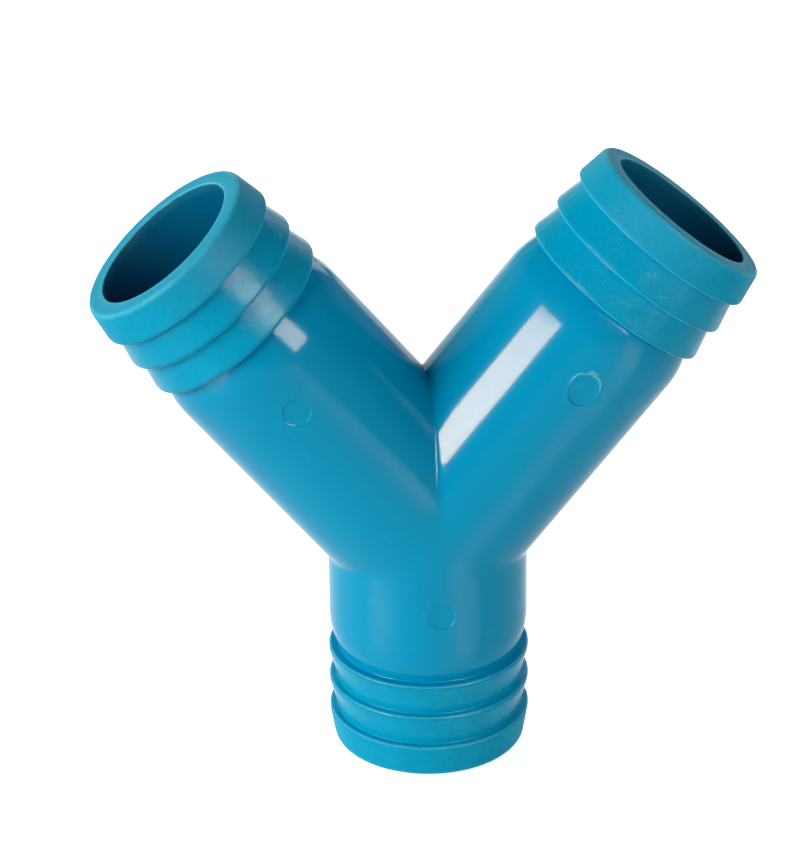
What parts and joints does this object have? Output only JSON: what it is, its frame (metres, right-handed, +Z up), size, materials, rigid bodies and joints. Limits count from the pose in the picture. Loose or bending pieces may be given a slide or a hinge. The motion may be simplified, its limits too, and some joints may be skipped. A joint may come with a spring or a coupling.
{
  "type": "tubing y connector",
  "caption": "One-piece moulded plastic Y connector with a barbed end on each leg, joining a hose to two others.",
  "frame": {"origin": "centre of the stem's flat end face, on the surface the part stands on", "axes": "+Z up along the stem's axis, both arms in the plane y = 0, ejector marks on the -Y side"},
  "size_m": [0.0914, 0.0284, 0.0867],
  "materials": {
    "blue_plastic": "glossy moulded plastic, satin on the barbs"
  },
  "bodies": {
    "root": {"y_connector": "blue_plastic"}
  },
  "joints": []
}
